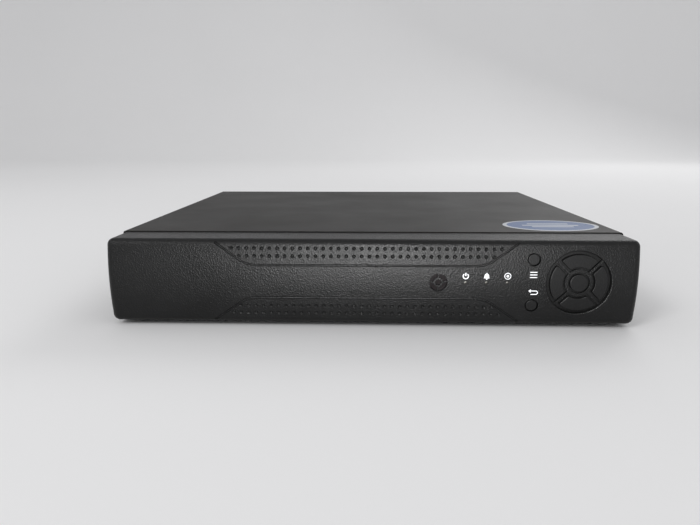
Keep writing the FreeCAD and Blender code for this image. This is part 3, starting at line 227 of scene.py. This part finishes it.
def solder_mask(name):
    """A green circuit board: darker where copper runs under the mask, with rows of small vias."""
    g = Graph(name)
    cloud = g.noise(2.5 * MM, 1.0, 0.4, g.stretched((1.0, 0.35, 1.0)))
    tracks = g.math("PINGPONG", g.math("MULTIPLY", cloud, 14.0), 0.5)
    copper = g.spread(tracks, 0.0, 1.0, 0.2, 0.3)
    vias = g.spread(g.cells(3.1 * MM, "F1"), 1.0, 0.0, 0.08, 0.12)
    colour = g.mix(copper, (0.010, 0.075, 0.028, 1.0), (0.016, 0.13, 0.045, 1.0))
    return g.finish(
        Base_Color=g.mix(vias, colour, (0.45, 0.33, 0.12, 1.0)),
        Roughness=g.spread(copper, 0.3, 0.42),
        Normal=g.bump(copper, 0.03 * MM, 0.6),
    )


def printed(name, colour, rough=0.45):
    """Screen printing ink: a little thin in places, with a soft grain."""
    g = Graph(name)
    thin = g.noise(0.5 * MM, 3.0)
    dark = tuple(c * 0.8 for c in colour[:3]) + (1.0,)
    return g.finish(
        Base_Color=g.mix(g.spread(thin, 0.0, 1.0, 0.3, 0.6), dark, colour),
        Roughness=g.spread(thin, rough - 0.06, rough + 0.08, 0.3, 0.7),
        Normal=g.bump(thin, 0.01 * MM, 0.4),
    )


def lamp_resin(name):
    """Clear resin of the indicator lamps, slightly hazy."""
    g = Graph(name)
    haze = g.noise(0.6 * MM, 2.0)
    return g.finish(
        Base_Color=g.mix(haze, (0.28, 0.27, 0.25, 1.0), (0.42, 0.41, 0.38, 1.0)),
        Roughness=g.spread(haze, 0.12, 0.22),
        Specular_IOR_Level=0.6,
    )


def polished_disc(name):
    """A drive's disc: a near mirror with hair-fine rings about its spindle."""
    g = Graph(name)
    low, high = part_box("drive_platters")
    centre = (low + high) / 2
    offset = g.tree.nodes.new("ShaderNodeVectorMath")
    offset.operation = "SUBTRACT"
    offset.inputs[1].default_value = centre
    g.put(offset.inputs[0], g.place)
    rings = g.tree.nodes.new("ShaderNodeTexWave")
    rings.wave_type = "RINGS"
    rings.rings_direction = "Z"
    rings.inputs["Scale"].default_value = 900.0
    rings.inputs["Distortion"].default_value = 0.5
    g.put(rings.inputs["Vector"], offset.outputs[0])
    return g.finish(
        Base_Color=g.mix(rings.outputs["Fac"], (0.62, 0.62, 0.65, 1.0), (0.72, 0.72, 0.75, 1.0)),
        Metallic=1.0,
        Roughness=g.spread(rings.outputs["Fac"], 0.06, 0.12),
    )


BLACK = grey(0.013)
SURFACES = {
    "front_plastic": lambda n: spark_plastic(n, 0.0042, 0.6 * MM, 0.2 * MM, 0.33, 0.2),
    "key_plastic": lambda n: spark_plastic(n, 0.0045, 0.5 * MM, 0.08 * MM, 0.4, 0.2),
    "case_paint": lambda n: powder_coat(n, 0.012, 0.1, 0.56, 0.3),
    "chassis_paint": lambda n: powder_coat(n, 0.012, 0.1, 0.56, 0.3),
    "foot_rubber": rubber,
    "black_screws": lambda n: metal(n, grey(0.06), 0.4),
    "zinc_screws": lambda n: metal(n, grey(0.6, 0.02), 0.3),
    "nickel": lambda n: metal(n, (0.66, 0.64, 0.6, 1.0), 0.2),
    "port_steel": lambda n: metal(n, grey(0.55, 0.01), 0.28, (1, 0.08, 1)),
    "gold_contacts": lambda n: metal(n, (0.85, 0.62, 0.24, 1.0), 0.2),
    "brass_posts": lambda n: metal(n, (0.72, 0.53, 0.25, 1.0), 0.28),
    "connector_black": lambda n: plain_plastic(n, BLACK, 0.42),
    "connector_white": lambda n: plain_plastic(n, grey(0.66, 0.03), 0.4),
    "connector_blue": lambda n: plain_plastic(n, (0.015, 0.06, 0.36, 1.0), 0.4),
    "board_green": solder_mask,
    "chip_black": lambda n: plain_plastic(n, grey(0.02), 0.55),
    "plunger_plastic": lambda n: plain_plastic(n, grey(0.6, 0.05), 0.4),
    "sink_aluminium": lambda n: metal(n, grey(0.62), 0.35, (1, 0.05, 1)),
    "cell_steel": lambda n: metal(n, grey(0.68), 0.22),
    "lamp_resin": lamp_resin,
    "filter_plastic": lambda n: plain_plastic(n, (0.004, 0.002, 0.0025, 1.0), 0.34, 0.12),
    "cable_grey": lambda n: plain_plastic(n, grey(0.36), 0.5),
    "cable_black": lambda n: plain_plastic(n, grey(0.02), 0.45),
    "drive_casting": lambda n: metal(n, grey(0.42), 0.5, depth=0.04 * MM),
    "drive_steel": lambda n: metal(n, grey(0.55), 0.3, (0.05, 1, 1)),
    "drive_disc": polished_disc,
    "label_print": lambda n: printed(n, (0.75, 0.62, 0.05, 1.0), 0.3),
}


def dress_cad_nodes():
    """Gives every CAD node the surface of its slot in the record."""
    made = {slot: make(slot) for slot, make in SURFACES.items()}
    for part in frame["record"]["subparts"]:
        node = frame["nodes"][part["node"]]
        node.data.materials.clear()
        node.data.materials.append(made[part["material_slot"]])


# ---- flat printed shapes ------------------------------------------------------------------------
def arc(cx, cy, r, start, end, steps):
    """Points along an arc, angles in degrees."""
    angles = [math.radians(start + (end - start) * i / steps) for i in range(steps + 1)]
    return [(cx + r * math.cos(a), cy + r * math.sin(a)) for a in angles]


def band(path, width):
    """The outline of a line of that width along an open path, as two rows of points."""
    left, right = [], []
    for i, (x, y) in enumerate(path):
        x0, y0 = path[max(i - 1, 0)]
        x1, y1 = path[min(i + 1, len(path) - 1)]
        length = math.hypot(x1 - x0, y1 - y0)
        nx, ny = -(y1 - y0) / length * width / 2, (x1 - x0) / length * width / 2
        left.append((x + nx, y + ny))
        right.append((x - nx, y - ny))
    return left + right[::-1]


def rectangle(cx, cy, w, h):
    return [(cx - w / 2, cy - h / 2), (cx + w / 2, cy - h / 2),
            (cx + w / 2, cy + h / 2), (cx - w / 2, cy + h / 2)]


def disc(cx, cy, r, steps=28):
    return arc(cx, cy, r, 0, 360 * (steps - 1) / steps, steps - 1)


def printed_piece(name, outlines, on_surface, thickness, material, body):
    """A print of closed outlines, in mm, laid on a surface as one thin solid mesh.
    on_surface(u, v, lift) gives the point above (u, v) on the surface, lift metres off it."""
    vertices, faces = [], []
    for outline in outlines:
        count, first = len(outline), len(vertices)
        for lift in (thickness, 0.0):
            vertices += [on_surface(u, v, lift) for u, v in outline]
        faces.append(list(range(first, first + count)))
        faces.append(list(range(first + 2 * count - 1, first + count - 1, -1)))
        for i in range(count):
            j = (i + 1) % count
            faces.append([first + j, first + i, first + count + i, first + count + j])
    mesh = bpy.data.meshes.new(name)
    mesh.from_pydata(vertices, [], faces)
    mesh.validate()
    mesh.update()
    piece = bpy.data.objects.new(name, mesh)
    bpy.context.scene.collection.objects.link(piece)
    mesh.materials.append(material)
    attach(piece, body)
    return piece


# ---- signs on the front -------------------------------------------------------------------------
def surface_of(node):
    """A node's mesh as a tree that rays can be cast at."""
    mesh = frame["nodes"][node].data
    return BVHTree.FromPolygons([v.co for v in mesh.vertices], [p.vertices for p in mesh.polygons])


OK_LOW, OK_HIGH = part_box("ok_key")
FACE_MID = (OK_LOW.z + OK_HIGH.z) / 2
BEZEL_TREE = surface_of("front_bezel")
RAY_START = 0.01                       # rays start this far outside the surface
SIGN_THICKNESS = 0.02 * MM
LAMP_INSET = 1.9 * MM                  # from the end of the lamps' group to the middle of its end lamp


def front_place(cx, cz):
    """Lays (u, v), in mm, on the curved front around the point (cx, cz)."""
    def place(u, v, lift):
        x, z = cx + u * MM, cz + v * MM
        hit = BEZEL_TREE.ray_cast(Vector((x, CAD_LOW.y - RAY_START, z)), Vector((0, 1, 0)))[0]
        return (x, hit.y - lift, z)
    return place


def lamp_centres():
    """The X places of the three lamps, evenly spaced over the box of their group."""
    low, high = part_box("indicator_lamps")
    return [low.x + LAMP_INSET, (low.x + high.x) / 2, high.x - LAMP_INSET]


def front_signs(ink):
    """A pictogram above each lamp and beside each small key."""
    lamps = lamp_centres()
    row = FACE_MID + 3.3 * MM
    signs = {
        "power_sign": (lamps[0], row, [
            band(arc(0, -0.1, 1.25, 128, 412, 26), 0.42), rectangle(0, 0.75, 0.42, 1.5)]),
        "alarm_sign": (lamps[1], row, [
            arc(0, 0.1, 1.0, 0, 180, 14) + [(-1.15, -0.75), (-1.5, -1.05), (1.5, -1.05), (1.15, -0.75)],
            disc(0, -1.45, 0.32, 14), rectangle(0, 1.25, 0.36, 0.5)]),
        "record_sign": (lamps[2], row, [
            band(arc(0, 0, 1.45, 2, 358, 30), 0.28), disc(0, 0, 0.6, 22)]),
    }
    menu = (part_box("menu_key")[0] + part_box("menu_key")[1]) / 2
    signs["menu_sign"] = (menu.x, FACE_MID + 4.0 * MM, [
        rectangle(0, 1.25, 3.4, 0.34), rectangle(0, 0, 3.4, 0.34), rectangle(0, -1.25, 3.4, 0.34)])
    signs["escape_sign"] = (menu.x, FACE_MID - 4.4 * MM, [
        band([(1.5, 0.55), (-1.0, 0.55)], 0.34), [(-2.0, 0.55), (-0.9, 1.4), (-0.9, -0.3)],
        band(arc(1.5, -0.3, 0.85, 90, -90, 14) + [(-0.9, -1.15)], 0.34)])
    for name, (x, z, outlines) in signs.items():
        printed_piece(name, outlines, front_place(x, z), SIGN_THICKNESS, ink, "case")


# ---- prints on the rear panel -------------------------------------------------------------------
CHASSIS_TREE = surface_of("bottom_chassis")
PRINT_THICKNESS = 0.03 * MM
DIGIT_OFFSET = 8.3 * MM                # from a video jack's middle to its number
PICTOGRAM_RISE = 3.0 * MM              # from a port's upper edge to its pictogram
JACK_HALF = 2.4 * MM                   # radius of a video jack's insulator
DIGITS = (
    [band([(-0.5, 0.8), (0.1, 1.25), (0.1, -1.3)], 0.36)],
    [band(arc(0, 0.6, 0.7, 170, -30, 10) + [(-0.7, -1.1)], 0.36), rectangle(0, -1.2, 1.7, 0.34)],
    [band(arc(0, 0.6, 0.62, 140, -90, 12), 0.36), band(arc(0, -0.64, 0.66, 90, -140, 12), 0.36)],
    [band([(0.3, 1.2), (-0.75, -0.45), (0.85, -0.45)], 0.34), rectangle(0.38, -0.05, 0.36, 2.5)],
)


def rear_place(cx, cz):
    """Lays (u, v), in mm, on the rear panel around (cx, cz), with u to the right seen from behind."""
    def place(u, v, lift):
        x, z = cx - u * MM, cz + v * MM
        hit = CHASSIS_TREE.ray_cast(Vector((x, CAD_HIGH.y + RAY_START, z)), Vector((0, -1, 0)))[0]
        return (x, hit.y + lift, z)
    return place


def rear_prints(ink):
    """Channel numbers beside the video jacks and a plain pictogram above each other port."""
    low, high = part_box("bnc_inserts")
    rows = (high.z - JACK_HALF, low.z + JACK_HALF)
    columns = ((high.x - JACK_HALF, 1), (low.x + JACK_HALF, -1))
    for i, (z, (x, side)) in enumerate((z, column) for z in rows for column in columns):
        printed_piece(f"channel_{i + 1}", DIGITS[i], rear_place(x + side * DIGIT_OFFSET, z),
                      PRINT_THICKNESS, ink, "case")
    pictograms = {
        "screen_sign": ("monitor_port", [
            band([(-1.6, -0.6), (-1.6, 1.3), (1.6, 1.3), (1.6, -0.6), (-1.6, -0.6)], 0.3),
            rectangle(0, -1.25, 1.8, 0.34)]),
        "film_sign": ("digital_video_port", [
            band([(-1.6, -1.1), (-1.6, 1.1), (1.6, 1.1), (1.6, -1.1), (-1.6, -1.1)], 0.3),
            [(-0.5, -0.6), (0.7, 0.0), (-0.5, 0.6)]]),
        "network_sign": ("network_port", [
            rectangle(0, 1.0, 1.1, 0.9), rectangle(-1.2, -0.9, 1.1, 0.9), rectangle(1.2, -0.9, 1.1, 0.9),
            rectangle(0, 0.2, 0.26, 0.7), rectangle(0, -0.1, 2.6, 0.26)]),
        "plug_sign": ("usb_ports", [
            rectangle(0, -0.6, 1.9, 1.4), rectangle(-0.45, 0.6, 0.34, 1.0),
            rectangle(0.45, 0.6, 0.34, 1.0)]),
        "supply_sign": ("power_inlet", [band(arc(0, 0, 1.1, 20, 340, 24), 0.3), disc(0, 0, 0.4, 16)]),
    }
    for name, (port, outlines) in pictograms.items():
        low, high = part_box(port)
        spot = rear_place((low.x + high.x) / 2, high.z + PICTOGRAM_RISE)
        printed_piece(name, outlines, spot, PRINT_THICKNESS, ink, "case")


# ---- label on the cover -------------------------------------------------------------------------
def cover_label():
    """A plain oval label in thin layers: pale edge, blue field and three bars."""
    low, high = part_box("cover_sticker")
    centre, half = (low + high) / 2, (high - low) / 2 / MM

    def place(u, v, lift):
        return (centre.x + u * MM, centre.y + v * MM, low.z + lift)

    def oval(scale):
        return [(x * half.x * scale, y * half.y * scale) for x, y in disc(0, 0, 1.0, 72)]

    pale = printed("label_pale", (0.42, 0.44, 0.47, 1.0), 0.4)
    blue = printed("label_blue", (0.02, 0.07, 0.2, 1.0), 0.4)
    base = printed_piece("label_base", [oval(0.985)], place, 0.09 * MM, pale, "case")
    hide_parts("cover_sticker")
    printed_piece("label_field", [oval(0.9)], place, 0.10 * MM, blue, "case")
    bars = [rectangle(0, 5.0, 22.0, 2.2), rectangle(0, 0, 30.0, 2.2), rectangle(0, -5.0, 22.0, 2.2)]
    printed_piece("label_bars", bars, place, 0.11 * MM, pale, "case")


# ---- studio -------------------------------------------------------------------------------------
def studio_floor():
    """A pale sweep: flat floor that curves up into a back wall."""
    g = Graph("studio_sweep")
    cloud = g.noise(0.6, 2.0)
    g.finish(Base_Color=g.mix(cloud, grey(0.82), grey(0.86)), Roughness=0.9, Specular_IOR_Level=0.1)
    profile = [(-4.0, 0.0), (1.6, 0.0)]
    profile += [(1.6 + 0.8 * math.sin(a), 0.8 - 0.8 * math.cos(a))
                for a in (math.radians(9 * i) for i in range(1, 11))]
    profile.append((2.4, 4.0))
    vertices = [(x, y, z) for y, z in profile for x in (-5.0, 5.0)]
    faces = [[2 * i, 2 * i + 1, 2 * i + 3, 2 * i + 2] for i in range(len(profile) - 1)]
    mesh = bpy.data.meshes.new("studio_floor")
    mesh.from_pydata(vertices, [], faces)
    for face in mesh.polygons:
        face.use_smooth = True
    mesh.materials.append(g.material)
    floor = bpy.data.objects.new("studio_floor", mesh)
    bpy.context.scene.collection.objects.link(floor)
    return floor


def soft_light(name, place, target, size, power, colour=(1, 1, 1)):
    data = bpy.data.lights.new(name, "AREA")
    data.shape = "RECTANGLE"
    data.size, data.size_y = size
    data.energy = power
    data.color = colour
    light = bpy.data.objects.new(name, data)
    light.location = place
    light.rotation_euler = (Vector(target) - Vector(place)).to_track_quat("-Z", "Y").to_euler()
    bpy.context.scene.collection.objects.link(light)
    return light


def studio():
    """The floor and the lights. The window light is kept off the floor and the cover."""
    floor = studio_floor()
    front = (0, CAD_LOW.y, FACE_MID)
    window = soft_light("window_light", (0.008, CAD_LOW.y - 0.29, 0.075), front, (0.08, 0.12), 1.7)
    unlit = bpy.data.collections.new("unlit_by_window")
    for i, node in enumerate((floor, frame["nodes"]["top_cover"])):
        unlit.objects.link(node)
        unlit.collection_objects[i].light_linking.link_state = "EXCLUDE"
    window.light_linking.receiver_collection = unlit
    soft_light("key_light", (-0.75, -0.95, 0.9), front, (0.4, 0.4), 5)
    soft_light("top_light", (0.9, 1.4, 1.2), (0, 0, 0), (1.0, 0.8), 8.0)
    world = bpy.data.worlds.new("studio_world")
    world.use_nodes = True
    background = world.node_tree.nodes["Background"]
    background.inputs["Color"].default_value = (0.985, 0.985, 1.0, 1.0)
    background.inputs["Strength"].default_value = 0.65
    bpy.context.scene.world = world


def camera():
    """Low over the front, slightly left of the middle, as a person would photograph it on a table."""
    data = bpy.data.cameras.new("camera")
    data.lens = 29.85
    data.sensor_width = 36.0
    data.clip_start = 0.01
    cam = bpy.data.objects.new("camera", data)
    cam.location = (-1.4 * MM, CAD_LOW.y - 269 * MM, CAD_HIGH.z + 48.5 * MM)
    cam.rotation_euler = (math.radians(90 - 12.52), math.radians(0.06), math.radians(1.73))
    bpy.context.scene.collection.objects.link(cam)
    bpy.context.scene.camera = cam


bpy.context.scene.view_settings.view_transform = "Standard"
camera()
dress_cad_nodes()
ink = printed("sign_ink", (0.78, 0.8, 0.82, 1.0))
front_signs(ink)
rear_prints(ink)
cover_label()
studio()
